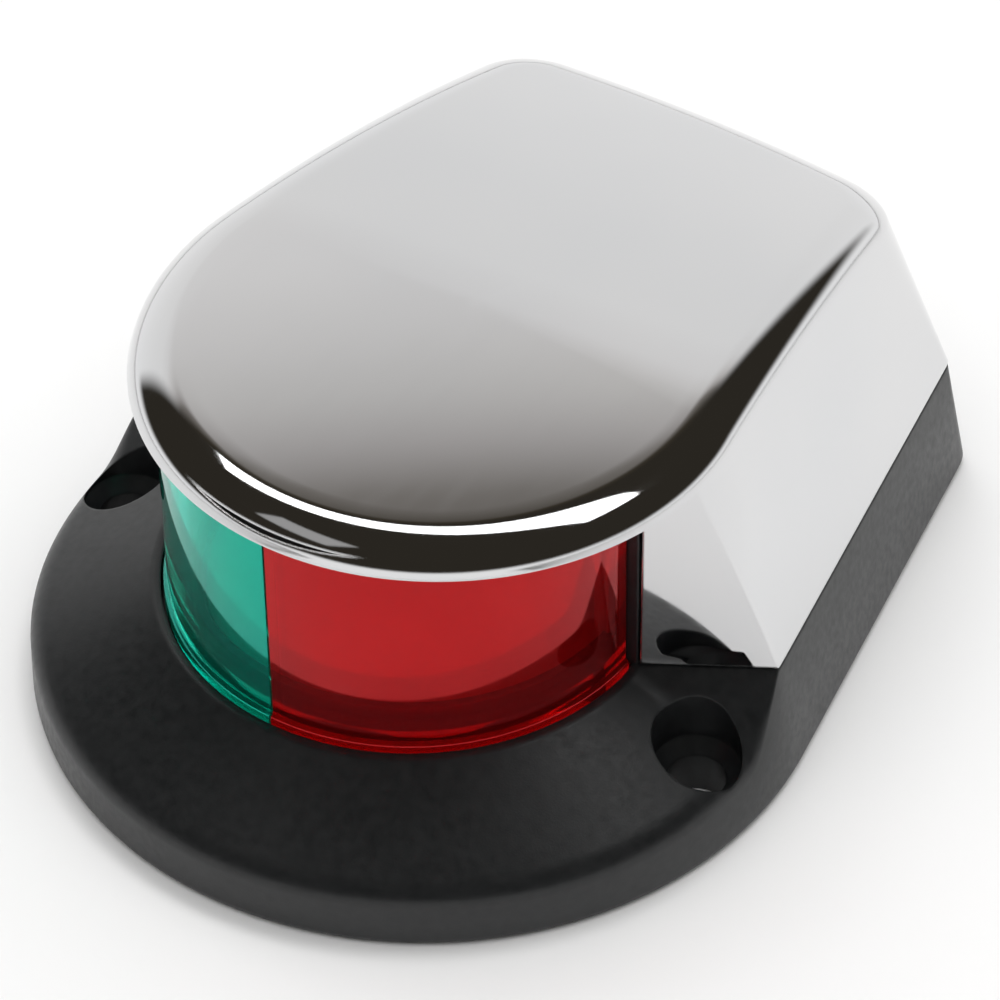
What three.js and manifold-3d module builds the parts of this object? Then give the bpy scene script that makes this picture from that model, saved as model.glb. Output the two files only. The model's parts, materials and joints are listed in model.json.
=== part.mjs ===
// Low-profile bow navigation light for a small boat, as an assembly of separate pieces.
// Millimetres, +Z up. The bow is towards -Y and the port (red) side is +X.
// Every piece is drawn around the lens axis; the finished group is then shifted along Y so
// that the row's origin is the centre of the footprint, on the deck.

import * as THREE from 'three';
import { ConvexGeometry } from 'three/addons/geometries/ConvexGeometry.js';
import { mergeVertices } from 'three/addons/utils/BufferGeometryUtils.js';
import Module from 'manifold-3d';

const wasm = await Module();
wasm.setup();

// ---------- driving dimensions ----------

const GAP = 0.3; // clearance kept between neighbouring pieces
const rad = THREE.MathUtils.degToRad;

// Plan outlines: a front arc, straight tapering sides, rounded rear corners, bowed rear edge.
const BASE = { radius: 40.8, centreY: 2.3, taper: rad(10), rearY: 59.9, rearRadius: 240, corner: 4 };
const SEAM_INSET = 2.2; // how far the drafted base wall leans in by the seam with the cover
const TOP = { radius: 30.9, centreY: 5.8, taper: rad(8.6), rearY: 56.9, rearRadius: 160, corner: 8.2 };

const BASE_TOP = 13.6; // flat top of the base's rear block
const BASE_WALL = 4.6;
const BASE_FLOOR = 2.7;
const DRAFT_START_Y = -22; // the rim is upright ahead of here
const DRAFT_FULL_Y = 4; // and leans in fully aft of here
const RIM_ROUND = [[0.1, 5.2], [0.4, 6.2], [1.0, 6.9], [2.0, 7.4]]; // inset and height
const FOOT_TOP = 0.9;
const FOOT_ROUND = [[0.7, 0], [0.25, 0.25], [0, FOOT_TOP]];
const GASKET_GROOVE = { from: 1.4, to: 2.7, depth: 1.2 };
const SEAL_GROOVE = { from: 0.4, to: 1.9, depth: 1.2 }; // between base and cover, aft of the lens
const SEAL_CORD = { from: 0.6, to: 1.7, below: 0.9, above: 0.1 };
const HOLLOW = { floor: 2.4, underSeat: 3.2, roofInset: 1.6 }; // the space under the base
const RIBS = { xs: [-12, 0, 12], half: 0.9, fromY: -33, toY: 18, bottom: 4, top: 12 };
const SEAT_RADIUS = 26.6; // flat ring that the lens stands in
const SEAT_Z = 13.2;
const COLLAR = { inner: 21.5, top: 16.8 }; // stands inside the lens foot

const COVER_BOTTOM = BASE_TOP + GAP;
const COVER_WALL = 2.2;
const LIP_Z = 37.1; // underside of the roof over the lens
const ROOF_EDGE_Z = 37.6; // where the upright lip starts to round over
const ROOF_TOP = 40.5;
const ROOF_EDGE_WIDTH = 4.6;
const ROOF_INSIDE_Z = 38.2;
const ROOF_RECESS_RADIUS = 21.5; // over the bulb
const ROOF_FALL = { fromY: 10.5, rate: 0.0031 }; // aft of fromY the roof curves down to the rear
const ROOF_RINGS = [0.8, 0.6, 0.4, 0.2]; // rings of the roof, as shares of the way out to its edge
const SIDE_STEPS = 6; // stretches along a straight side of the cover
const UPPER_SEAL = { inner: 22.7, outer: 24.8, depth: 1.4 }; // groove in the roof, on top of the lens
const COVER_POST = { radius: 4, boreTop: 28 };

const LENS_RADIUS = 25;
const LENS_WALL = 2.4;
const LENS_BOTTOM = 12.4;
const LENS_TOP = 36.85;
const LENS_FOOT_RADIUS = 25.4;
const LENS_FOOT_TOP = 14;
const LENS_SPLIT = 0.12; // half of the joint line between the two colours
const GROOVE_BOTTOM = 11;
const POST_RADIUS = 26.2;
const POST_END_Y = 3.8;
const CHAMBER_RADIUS = POST_RADIUS + GAP;

// The walls beside the lens start at its rear ends and sweep back past the lit arc.
const WALL_START = new THREE.Vector2(CHAMBER_RADIUS, 0.32);
const WALL_SWEEP = rad(30.2);
const WALL_LEAN = 0.01; // how far the wall leans back for each millimetre of height
const RAMP_SLOPE = 0.95; // forward run of the base's ramp below the wall, per millimetre down

const MOUNT_HOLE = { x: 34.8, y: -2.3, radius: 3, head: 4.5, coneFoot: 4.7, coneTop: 6.1, boss: 6.9 };
const COVER_SCREWS = [
  { side: 'port', x: 28.5, y: 13.5 },
  { side: 'starboard', x: -28.5, y: 13.5 },
  { side: 'aft', x: 0, y: 45 },
];
const SCREW = { shank: 1.9, length: 19, head: 3.7, headHeight: 2.5, seatZ: 6.5, boss: 6.2 };
const WASHER_THICKNESS = 0.8;
const POST_BORE = SCREW.shank + GAP;

const BULB_Z = 25;
const BULB_RADIUS = 5;
const BULB_TIP_Y = -9;
const BULB_SHOULDER_Y = 7.4;
const WEDGE = { width: 9.6, thickness: 4.6, startY: 6.4, endY: 17.4 };
const LEAD_RADIUS = 0.28;
const LEAD_X = 2.4;

const HOLDER = { radius: 7.2, frontY: 9.4, collarY: 22, collarEndY: 23.7, collarRadius: 9, rearY: 32 };
const HOLDER_SLOT = { width: 10.2, height: 7.4, endY: 18.8 };
const CONTACT = { thickness: 0.4, width: 6, startY: 10, endY: 37, lift: 3.3 };
const BRACKET = { y: 24, thickness: 0.9, width: 22, top: 35, footDepth: 9.5, hole: 6.6 };
const BRACKET_SCREW = { x: 8, y: 29.5, shank: 1.2, head: 2.5, length: 5.5 };
const BRACKET_BOSS = { radius: 3, bottom: 8.6, pilot: 1.5, pilotBottom: 9.6 };
const REFLECTOR = { radius: 21.4, wall: 1.4, frontY: 1.2, bottom: 13.9, floorThickness: 1.2, top: 36.6 };
const GROMMET = { x: 17, y: 38, bore: 3.2, waist: 4.7, flange: 6.4, lip: 1.2 };

// ---------- solids and booleans ----------

function solid(geometry) {
  const bare = (geometry.index ? geometry.toNonIndexed() : geometry.clone());
  bare.deleteAttribute('normal');
  bare.deleteAttribute('uv');
  const merged = mergeVertices(bare, 1e-4);
  const mesh = new wasm.Mesh({
    numProp: 3,
    vertProperties: new Float32Array(merged.attributes.position.array),
    triVerts: new Uint32Array(merged.index.array),
  });
  return new wasm.Manifold(mesh);
}

function join(...solids) {
  return solids.reduce((all, next) => all.add(next));
}

function cut(body, ...tools) {
  return tools.reduce((rest, tool) => rest.subtract(tool), body);
}

function geometryOf(body) {
  const mesh = body.getMesh();
  const geometry = new THREE.BufferGeometry();
  geometry.setAttribute('position', new THREE.BufferAttribute(mesh.vertProperties, 3));
  geometry.setIndex(new THREE.BufferAttribute(mesh.triVerts, 1));
  const flat = geometry.toNonIndexed();
  flat.computeVertexNormals();
  return flat;
}

function box(x0, x1, y0, y1, z0, z1) {
  const geometry = new THREE.BoxGeometry(x1 - x0, y1 - y0, z1 - z0);
  geometry.translate((x0 + x1) / 2, (y0 + y1) / 2, (z0 + z1) / 2);
  return solid(geometry);
}

function uprightCylinder(x, y, radius, z0, z1, segments = 32) {
  const geometry = new THREE.CylinderGeometry(radius, radius, z1 - z0, segments);
  geometry.rotateX(Math.PI / 2);
  geometry.translate(x, y, (z0 + z1) / 2);
  return solid(geometry);
}

function uprightCone(x, y, lowRadius, highRadius, z0, z1, segments = 32) {
  const geometry = new THREE.CylinderGeometry(highRadius, lowRadius, z1 - z0, segments);
  geometry.rotateX(Math.PI / 2);
  geometry.translate(x, y, (z0 + z1) / 2);
  return solid(geometry);
}

function foreAftCylinder(x, z, radius, y0, y1, segments = 32) {
  const geometry = new THREE.CylinderGeometry(radius, radius, y1 - y0, segments);
  geometry.translate(x, (y0 + y1) / 2, z);
  return solid(geometry);
}

// Turned piece: profile is [radius, height] pairs, which start and end on the axis or close.
function turned(profile, segments) {
  const points = profile.map(([r, h]) => new THREE.Vector2(r, h));
  const geometry = new THREE.LatheGeometry(points, segments);
  geometry.rotateX(Math.PI / 2);
  return geometry;
}

function ring(inner, outer, z0, z1, segments = 96) {
  const profile = [[inner, z0], [outer, z0], [outer, z1], [inner, z1], [inner, z0]];
  return solid(turned(profile, segments));
}

// ---------- plan outlines ----------

// Points of an outline, anticlockwise from the bow, each with its outward normal.
function outline({ radius, centreY, taper, rearY, rearRadius, corner }, sideSteps = 1) {
  const side = new THREE.Vector2(-Math.sin(taper), Math.cos(taper));
  const start = new THREE.Vector2(Math.cos(taper), Math.sin(taper)).multiplyScalar(radius - corner);
  start.y += centreY;
  const rearCentreY = rearY - rearRadius;
  const toRear = start.clone().sub(new THREE.Vector2(0, rearCentreY));
  const along = toRear.dot(side);
  const reach = (rearRadius - corner) ** 2 - toRear.lengthSq();
  const cornerCentre = start.clone().addScaledVector(side, -along + Math.sqrt(along * along + reach));
  const cornerEnd = Math.atan2(cornerCentre.y - rearCentreY, cornerCentre.x);

  const right = [];
  const arc = (x, y, r, from, to, steps, first = 0) => {
    for (let i = first; i <= steps; i += 1) {
      const angle = from + ((to - from) * i) / steps;
      const normal = new THREE.Vector2(Math.cos(angle), Math.sin(angle));
      right.push({ x: x + r * normal.x, y: y + r * normal.y, normal });
    }
  };
  arc(0, centreY, radius, -Math.PI / 2, taper, 26);
  const sideStart = right[right.length - 1];
  for (let i = 1; i < sideSteps; i += 1) {
    const share = i / sideSteps;
    right.push({
      x: THREE.MathUtils.lerp(sideStart.x, cornerCentre.x + corner * sideStart.normal.x, share),
      y: THREE.MathUtils.lerp(sideStart.y, cornerCentre.y + corner * sideStart.normal.y, share),
      normal: sideStart.normal,
    });
  }
  arc(cornerCentre.x, cornerCentre.y, corner, taper, cornerEnd, 6);
  arc(0, rearCentreY, rearRadius, cornerEnd, Math.PI / 2, 5, 1);
  const left = right.slice(1, -1).reverse().map((p) => (
    { x: -p.x, y: p.y, normal: new THREE.Vector2(-p.normal.x, p.normal.y) }
  ));
  return right.concat(left);
}

function inset(points, distance) {
  return points.map((p) => ({
    x: p.x - p.normal.x * distance,
    y: p.y - p.normal.y * distance,
    normal: p.normal,
  }));
}

function shrunk(shape, distance) {
  return {
    ...shape,
    radius: shape.radius - distance,
    rearY: shape.rearY - distance,
    corner: Math.max(shape.corner - distance, 1.2),
  };
}

function between(a, b, t) {
  const mixed = {};
  for (const key of Object.keys(a)) mixed[key] = THREE.MathUtils.lerp(a[key], b[key], t);
  return mixed;
}

// Closed solid through a stack of outlines with the same number of points. A level's z is a height,
// or a function that gives the height at each of its points.
function loft(levels) {
  const count = levels[0].points.length;
  const positions = [];
  const index = [];
  const heightAt = ({ z }, p) => (typeof z === 'number' ? z : z(p));
  for (const level of levels) {
    for (const p of level.points) positions.push(p.x, p.y, heightAt(level, p));
  }
  for (let level = 0; level + 1 < levels.length; level += 1) {
    for (let i = 0; i < count; i += 1) {
      const a = level * count + i;
      const b = level * count + ((i + 1) % count);
      index.push(a, b, b + count, a, b + count, a + count);
    }
  }
  const last = (levels.length - 1) * count;
  const low = positions.length / 3;
  const centre = { x: 0, y: BASE.centreY };
  for (const level of [levels[0], levels[levels.length - 1]]) {
    positions.push(centre.x, centre.y, heightAt(level, centre));
  }
  for (let i = 0; i < count; i += 1) {
    const next = (i + 1) % count;
    index.push(low, next, i, low + 1, last + i, last + next);
  }
  const geometry = new THREE.BufferGeometry();
  geometry.setAttribute('position', new THREE.Float32BufferAttribute(positions, 3));
  geometry.setIndex(index);
  return geometry;
}

// Everything behind the swept walls beside the lens. run(z) moves the walls forward at height z.
function behindWalls(z0, z1, run) {
  const points = [];
  for (const z of [z0, z1]) {
    const startX = WALL_START.x + Math.sin(WALL_SWEEP) * run(z);
    const startY = WALL_START.y - Math.cos(WALL_SWEEP) * run(z);
    const farX = startX + 60 * Math.cos(WALL_SWEEP);
    const farY = startY + 60 * Math.sin(WALL_SWEEP);
    for (const s of [-1, 1]) {
      points.push(new THREE.Vector3(s * startX, startY, z), new THREE.Vector3(s * farX, farY, z));
      points.push(new THREE.Vector3(s * farX, 90, z));
    }
  }
  return solid(new ConvexGeometry(points));
}

// ---------- base ----------

function baseLevel(insetBy, z) {
  const drafted = outline(BASE).map((p) => {
    const share = THREE.MathUtils.smoothstep(p.y, DRAFT_START_Y, DRAFT_FULL_Y);
    const rise = Math.max(0, z - FOOT_TOP) / (BASE_TOP - FOOT_TOP);
    const lean = insetBy + SEAM_INSET * share * rise;
    return { x: p.x - p.normal.x * lean, y: p.y - p.normal.y * lean };
  });
  return { points: drafted, z };
}

function circlePoints(radius, z, count = 72) {
  return Array.from({ length: count }, (_, i) => {
    const angle = (i * 2 * Math.PI) / count;
    return new THREE.Vector3(radius * Math.cos(angle), radius * Math.sin(angle), z);
  });
}

function baseOuter() {
  const foot = FOOT_ROUND.map(([by, z]) => baseLevel(by, z));
  const rim = RIM_ROUND.map(([by, z]) => baseLevel(by, z));
  const flangePoints = circlePoints(SEAT_RADIUS, SEAT_Z);
  for (const { points, z } of [...foot, ...rim]) {
    for (const p of points) flangePoints.push(new THREE.Vector3(p.x, p.y, z));
  }
  const flange = solid(new ConvexGeometry(flangePoints));
  const block = solid(loft([...foot, baseLevel(0, BASE_TOP)]));
  const ramp = behindWalls(-1, BASE_TOP + 1, (z) => (BASE_TOP - z) * RAMP_SLOPE);
  return flange.add(block.intersect(ramp));
}

// The open underside, where the leads are joined.
function baseHollow() {
  const inner = outline(shrunk(BASE, BASE_WALL));
  const flangePoints = circlePoints(SEAT_RADIUS - BASE_FLOOR, SEAT_Z - HOLLOW.underSeat);
  for (const z of [-1, HOLLOW.floor]) {
    for (const p of inner) flangePoints.push(new THREE.Vector3(p.x, p.y, z));
  }
  const underFlange = solid(new ConvexGeometry(flangePoints));
  const roof = outline(shrunk(BASE, BASE_WALL + HOLLOW.roofInset));
  const underBlock = solid(loft([{ points: inner, z: -1 }, { points: roof, z: BASE_TOP - BASE_FLOOR }]));
  const setBack = behindWalls(-2, BASE_TOP, (z) => (BASE_TOP - z) * RAMP_SLOPE - 2 * BASE_FLOOR);
  return underFlange.add(underBlock.intersect(setBack));
}

function channel(shape, from, to, z0, z1) {
  const outside = loft([z0, z1].map((z) => ({ points: inset(outline(shape), from), z })));
  const inside = loft([z0 - 1, z1 + 1].map((z) => ({ points: outline(shrunk(shape, to)), z })));
  return cut(solid(outside), solid(inside));
}

function makeBase() {
  const outer = baseOuter();
  const bosses = [];
  const holes = [];
  for (const side of [-1, 1]) {
    const x = side * MOUNT_HOLE.x;
    bosses.push(uprightCylinder(x, MOUNT_HOLE.y, MOUNT_HOLE.boss, 0, BASE_TOP));
    const { y, coneFoot, coneTop } = MOUNT_HOLE;
    holes.push(uprightCylinder(x, y, MOUNT_HOLE.radius, -1, BASE_TOP + 2));
    holes.push(uprightCone(x, y, MOUNT_HOLE.radius, MOUNT_HOLE.head, coneFoot, coneTop));
    holes.push(uprightCylinder(x, y, MOUNT_HOLE.head, coneTop, BASE_TOP + 2));
    const { radius, bottom, pilot, pilotBottom } = BRACKET_BOSS;
    const screwX = side * BRACKET_SCREW.x;
    bosses.push(uprightCylinder(screwX, BRACKET_SCREW.y, radius, bottom, BASE_TOP, 20));
    holes.push(uprightCylinder(screwX, BRACKET_SCREW.y, pilot, pilotBottom, BASE_TOP + 1, 20));
  }
  for (const { x, y } of COVER_SCREWS) {
    bosses.push(uprightCylinder(x, y, SCREW.boss, 0, BASE_TOP));
    holes.push(uprightCylinder(x, y, SCREW.shank + GAP, -1, BASE_TOP + 1, 24));
    holes.push(uprightCylinder(x, y, SCREW.head + 2 * GAP, -1, SCREW.seatZ, 24));
  }
  for (const x of RIBS.xs) {
    bosses.push(box(x - RIBS.half, x + RIBS.half, RIBS.fromY, RIBS.toY, RIBS.bottom, RIBS.top));
  }
  const shell = join(cut(outer, baseHollow()), join(...bosses).intersect(outer));

  const lensGroove = ring(LENS_RADIUS - LENS_WALL - GAP, LENS_FOOT_RADIUS + GAP, GROOVE_BOTTOM, 20);
  const frontHalf = box(-40, 40, -40, POST_END_Y, 0, 60);
  const collar = ring(COLLAR.inner, LENS_RADIUS - LENS_WALL - GAP, SEAT_Z - 1, COLLAR.top);
  const posts = ring(LENS_RADIUS - LENS_WALL, POST_RADIUS, GROOVE_BOTTOM - 0.5, LENS_TOP);
  const postSlab = box(-40, 40, GAP, POST_END_Y, 0, 60);
  const gasketGroove = channel(BASE, GASKET_GROOVE.from, GASKET_GROOVE.to, -1, GASKET_GROOVE.depth);
  const { from, to, depth } = SEAL_GROOVE;
  const sealGroove = channel(shrunk(BASE, SEAM_INSET), from, to, BASE_TOP - depth, BASE_TOP + 1);
  const aft = box(-60, 60, COVER_SCREWS[0].y - 4, 80, 0, 60);
  holes.push(uprightCylinder(GROMMET.x, GROMMET.y, GROMMET.waist + GAP, 0, BASE_TOP + 1, 24));
  const cored = cut(shell, lensGroove.intersect(frontHalf), gasketGroove, sealGroove.intersect(aft));
  const upstands = join(posts.intersect(postSlab), collar.intersect(box(-40, 40, -40, 0, 0, 60)));
  return cut(join(cored, upstands), ...holes);
}

function makeDeckGasket() {
  const { from, to, depth } = GASKET_GROOVE;
  return channel(BASE, from + 0.1, to - 0.1, 0, depth - GAP);
}

function makeHousingSeal() {
  const { from, to, below, above } = SEAL_CORD;
  const cord = channel(shrunk(BASE, SEAM_INSET), from, to, BASE_TOP - below, BASE_TOP + above);
  return cord.intersect(box(-60, 60, COVER_SCREWS[0].y - 3.5, 80, 0, 60));
}

function makeGrommet() {
  const low = BASE_TOP - BASE_FLOOR - GAP;
  const high = BASE_TOP + GAP;
  const { bore, waist, flange, lip } = GROMMET;
  const profile = [
    [bore, low - lip], [flange - 0.6, low - lip], [flange, low - lip / 2], [flange, low],
    [waist, low], [waist, high], [flange, high], [flange, high + lip / 2],
    [flange - 0.6, high + lip], [bore, high + lip], [bore, low - lip],
  ];
  return solid(turned(profile, 32)).translate(GROMMET.x, GROMMET.y, 0);
}

// ---------- cover ----------

function roofFall(y) {
  return ROOF_FALL.rate * Math.max(y - ROOF_FALL.fromY, 0) ** 2;
}

// The cover's wall, thickness in from its face, at the level that is at height z where the roof is flat.
function wallLevel(z, thickness = 0) {
  const share = (z - COVER_BOTTOM) / (ROOF_EDGE_Z - COVER_BOTTOM);
  const shape = shrunk(between(shrunk(BASE, SEAM_INSET), TOP, share), thickness);
  return { points: outline(shape, SIDE_STEPS), z: (p) => z - share * roofFall(p.y) };
}

// Rings that carry the curve of the roof in from an outline to the middle.
function roofLevels(points, z) {
  return ROOF_RINGS.map((share) => ({
    points: points.map((p) => ({ x: p.x * share, y: THREE.MathUtils.lerp(BASE.centreY, p.y, share) })),
    z: (p) => z - roofFall(p.y),
  }));
}

function coverOuter() {
  const levels = [COVER_BOTTOM, LIP_Z, ROOF_EDGE_Z].map((z) => wallLevel(z));
  const edge = outline(TOP, SIDE_STEPS);
  const steps = 5;
  for (let i = 1; i <= steps; i += 1) {
    const angle = (i * Math.PI) / 2 / steps;
    const points = inset(edge, ROOF_EDGE_WIDTH * (1 - Math.cos(angle)));
    const z = ROOF_EDGE_Z + (ROOF_TOP - ROOF_EDGE_Z) * Math.sin(angle);
    levels.push({ points, z: (p) => z - roofFall(p.y) });
  }
  return solid(loft([...levels, ...roofLevels(inset(edge, ROOF_EDGE_WIDTH), ROOF_TOP)]));
}

function makeCover() {
  const lean = (z) => (COVER_BOTTOM - z) * WALL_LEAN;
  const block = coverOuter();
  const roof = block.intersect(box(-60, 60, -60, 80, LIP_Z, 60));
  const housing = block.intersect(behindWalls(0, 60, lean));
  const inside = [COVER_BOTTOM - 1, ROOF_INSIDE_Z].map((z) => wallLevel(z, COVER_WALL));
  const setBack = behindWalls(0, 60, (z) => lean(z) - COVER_WALL);
  const ceiling = roofLevels(inside[1].points, ROOF_INSIDE_Z);
  const cavity = solid(loft([...inside, ...ceiling])).intersect(setBack);
  const recess = uprightCylinder(0, 0, ROOF_RECESS_RADIUS, LIP_Z - 1, ROOF_INSIDE_Z, 72);
  let cover = cut(join(roof, housing), cavity, recess);
  const { radius, boreTop } = COVER_POST;
  const bosses = COVER_SCREWS.map(({ x, y }) => (
    uprightCylinder(x, y, radius, COVER_BOTTOM, ROOF_EDGE_Z, 28)
  ));
  cover = join(cover, ...bosses.map((boss) => boss.intersect(block)));
  const bores = COVER_SCREWS.map(({ x, y }) => uprightCylinder(x, y, POST_BORE, 0, boreTop, 24));
  const chamber = uprightCylinder(0, 0, CHAMBER_RADIUS, 0, LIP_Z, 96);
  const sealGroove = ring(UPPER_SEAL.inner, UPPER_SEAL.outer, LIP_Z - 1, LIP_Z + UPPER_SEAL.depth);
  return cut(cover, chamber, sealGroove, ...bores);
}

function makeUpperSeal() {
  const { inner, outer, depth } = UPPER_SEAL;
  return ring(inner + GAP, outer - GAP, LIP_Z + 0.05, LIP_Z + depth - GAP);
}

// ---------- lens ----------

function lensRing() {
  const inner = LENS_RADIUS - LENS_WALL;
  const profile = [
    [inner, LENS_BOTTOM], [LENS_FOOT_RADIUS, LENS_BOTTOM], [LENS_FOOT_RADIUS, LENS_FOOT_TOP - 0.3],
    [LENS_FOOT_RADIUS - 0.3, LENS_FOOT_TOP], [LENS_RADIUS, LENS_FOOT_TOP + 0.2],
    [LENS_RADIUS, LENS_TOP], [inner, LENS_TOP], [inner, LENS_BOTTOM],
  ];
  return solid(turned(profile, 96));
}

function makeLens(side) {
  const quarter = side > 0 ? box(LENS_SPLIT, 40, -40, 0, 0, 60) : box(-40, -LENS_SPLIT, -40, 0, 0, 60);
  return lensRing().intersect(quarter);
}

function makeLowerSeal() {
  const inner = LENS_RADIUS - LENS_WALL;
  const full = ring(inner + 0.1, LENS_FOOT_RADIUS - 0.1, GROOVE_BOTTOM + 0.15, LENS_BOTTOM - GAP);
  return full.intersect(box(-40, 40, -40, -GAP, 0, 60));
}

// ---------- fasteners ----------

function makeCoverScrew() {
  const { shank, length, head, headHeight, seatZ } = SCREW;
  const under = seatZ - GAP - WASHER_THICKNESS - 0.2;
  const profile = [
    [0, under - headHeight], [head * 0.7, under - headHeight], [head, under - headHeight * 0.55],
    [head, under], [shank, under], [shank, under + length - 1.4], [shank * 0.45, under + length],
    [0, under + length],
  ];
  const screw = solid(turned(profile, 28));
  const crossZ = [under - headHeight - 1, under - headHeight + 1.3];
  return cut(screw, box(-2.1, 2.1, -0.45, 0.45, ...crossZ), box(-0.45, 0.45, -2.1, 2.1, ...crossZ));
}

function makeWasher() {
  const top = SCREW.seatZ - GAP + 0.1;
  return ring(SCREW.shank + 0.25, SCREW.head + 0.3, top - WASHER_THICKNESS, top, 28);
}

function makeBracketScrew() {
  const { shank, head, length } = BRACKET_SCREW;
  const under = BASE_TOP + GAP + BRACKET.thickness + GAP;
  const profile = [
    [0, under - length], [shank * 0.5, under - length], [shank, under - length + 1], [shank, under],
    [head, under], [head, under + 0.9], [head * 0.6, under + 1.6], [0, under + 1.6],
  ];
  const slot = box(-3, 3, -0.35, 0.35, under + 0.8, under + 2);
  return cut(solid(turned(profile, 24)), slot);
}

// ---------- lamp ----------

function makeReflector() {
  const { radius, wall, frontY, bottom, floorThickness, top } = REFLECTOR;
  const shell = ring(radius - wall, radius, bottom, top, 72).intersect(box(-40, 40, frontY, 40, 0, 60));
  const window = foreAftCylinder(0, BULB_Z, HOLDER.radius + 2 * GAP, 10, 30);
  const floor = uprightCylinder(0, 0, radius - 0.2, bottom, bottom + floorThickness, 72);
  return join(cut(shell, window), floor);
}

function makeBracket() {
  const { y, thickness, width, top, footDepth, hole } = BRACKET;
  const low = BASE_TOP + GAP;
  const plate = box(-width / 2, width / 2, y, y + thickness, low, top);
  const foot = box(-width / 2, width / 2, y, y + footDepth, low, low + thickness);
  const openings = [-1, 1].map((s) => (
    uprightCylinder(s * BRACKET_SCREW.x, BRACKET_SCREW.y, BRACKET_SCREW.shank + GAP, 0, 20, 20)
  ));
  return cut(join(plate, foot), foreAftCylinder(0, BULB_Z, hole, y - 1, y + 3, 28), ...openings);
}

function contactSlots() {
  const { thickness, width, startY, endY, lift } = CONTACT;
  return [-1, 1].map((s) => {
    const z = BULB_Z + s * lift;
    const half = width / 2 + 0.2;
    return box(-half, half, startY + 5, endY, z - thickness / 2 - 0.2, z + thickness / 2 + 0.2);
  });
}

function makeHolder() {
  const { radius, frontY, collarY, collarEndY, collarRadius, rearY } = HOLDER;
  const barrel = foreAftCylinder(0, BULB_Z, radius, frontY, collarY);
  const collar = foreAftCylinder(0, BULB_Z, collarRadius, collarY - 0.1, collarEndY, 6);
  const tail = foreAftCylinder(0, BULB_Z, BRACKET.hole - GAP, collarEndY - 0.1, rearY, 28);
  const { width, height, endY } = HOLDER_SLOT;
  const slot = box(
    -width / 2, width / 2, frontY - 1, endY, BULB_Z - height / 2, BULB_Z + height / 2,
  );
  return cut(join(barrel, collar, tail), slot, ...contactSlots());
}

function makeContact(side) {
  const { thickness, width, startY, endY, lift } = CONTACT;
  const z = BULB_Z + side * lift;
  const leaf = box(-width / 2, width / 2, startY, HOLDER.rearY + 1, z - thickness / 2, z + thickness / 2);
  const tab = box(-1.6, 1.6, HOLDER.rearY, endY, z - thickness / 2, z + thickness / 2);
  return cut(join(leaf, tab), uprightCylinder(0, endY - 1.8, 0.7, z - 1, z + 1, 16));
}

function makeBulbGlass() {
  const envelope = (radius, tipY, endY) => {
    const profile = [[0, tipY]];
    const steps = 8;
    for (let i = 1; i <= steps; i += 1) {
      const angle = (i * Math.PI) / 2 / steps;
      profile.push([radius * Math.sin(angle), tipY + radius - radius * Math.cos(angle)]);
    }
    profile.push([radius, endY], [0, endY]);
    const points = profile.map(([r, y]) => new THREE.Vector2(r, y));
    const geometry = new THREE.LatheGeometry(points, 32);
    geometry.translate(0, 0, BULB_Z);
    return solid(geometry);
  };
  const outer = envelope(BULB_RADIUS, BULB_TIP_Y, BULB_SHOULDER_Y);
  const inner = envelope(BULB_RADIUS - 0.6, BULB_TIP_Y + 0.6, BULB_SHOULDER_Y - 1.4);
  const { width, thickness, startY, endY } = WEDGE;
  const wedge = box(
    -width / 2, width / 2, startY, endY, BULB_Z - thickness / 2, BULB_Z + thickness / 2,
  );
  const leadHoles = [-1, 1].map((s) => foreAftCylinder(s * LEAD_X, BULB_Z, 0.5, 5, endY + 1, 12));
  return cut(join(outer, wedge), inner, ...leadHoles);
}

function wire(points, radius, segments) {
  const path = new THREE.CatmullRomCurve3(points, false, 'catmullrom', 0.2);
  const section = new THREE.Shape();
  section.absarc(0, 0, radius, 0, 2 * Math.PI);
  const options = { steps: segments, bevelEnabled: false, extrudePath: path, curveSegments: 6 };
  return solid(new THREE.ExtrudeGeometry(section, options));
}

// One wire from the filament, through the pinched glass, folded back along the wedge.
function makeLead(side) {
  const x = side * LEAD_X;
  const faceZ = BULB_Z + side * (WEDGE.thickness / 2 + LEAD_RADIUS + 0.08);
  const turnY = WEDGE.endY + LEAD_RADIUS + 0.15;
  const route = [
    [x, 0.4, BULB_Z], [x, 6, BULB_Z], [x, WEDGE.endY - 1, BULB_Z], [x, WEDGE.endY, BULB_Z],
    [x, turnY, BULB_Z + side * 0.4], [x, turnY, faceZ - side * 0.5], [x, WEDGE.endY - 0.3, faceZ],
    [x, 12, faceZ],
  ];
  return wire(route.map((p) => new THREE.Vector3(...p)), LEAD_RADIUS, 26);
}

function makeFilament() {
  const turns = 7;
  const halfLength = LEAD_X - 0.5;
  const points = [];
  for (let i = 0; i <= turns * 8; i += 1) {
    const angle = (i * 2 * Math.PI) / 8;
    const x = -halfLength + (2 * halfLength * i) / (turns * 8);
    points.push(new THREE.Vector3(x, -0.6 + 0.5 * Math.cos(angle), BULB_Z + 0.5 * Math.sin(angle)));
  }
  const path = new THREE.CatmullRomCurve3(points);
  const section = new THREE.Shape();
  section.absarc(0, 0, 0.09, 0, 2 * Math.PI);
  const options = { steps: turns * 8, bevelEnabled: false, extrudePath: path, curveSegments: 4 };
  return solid(new THREE.ExtrudeGeometry(section, options));
}

// ---------- materials ----------

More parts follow.
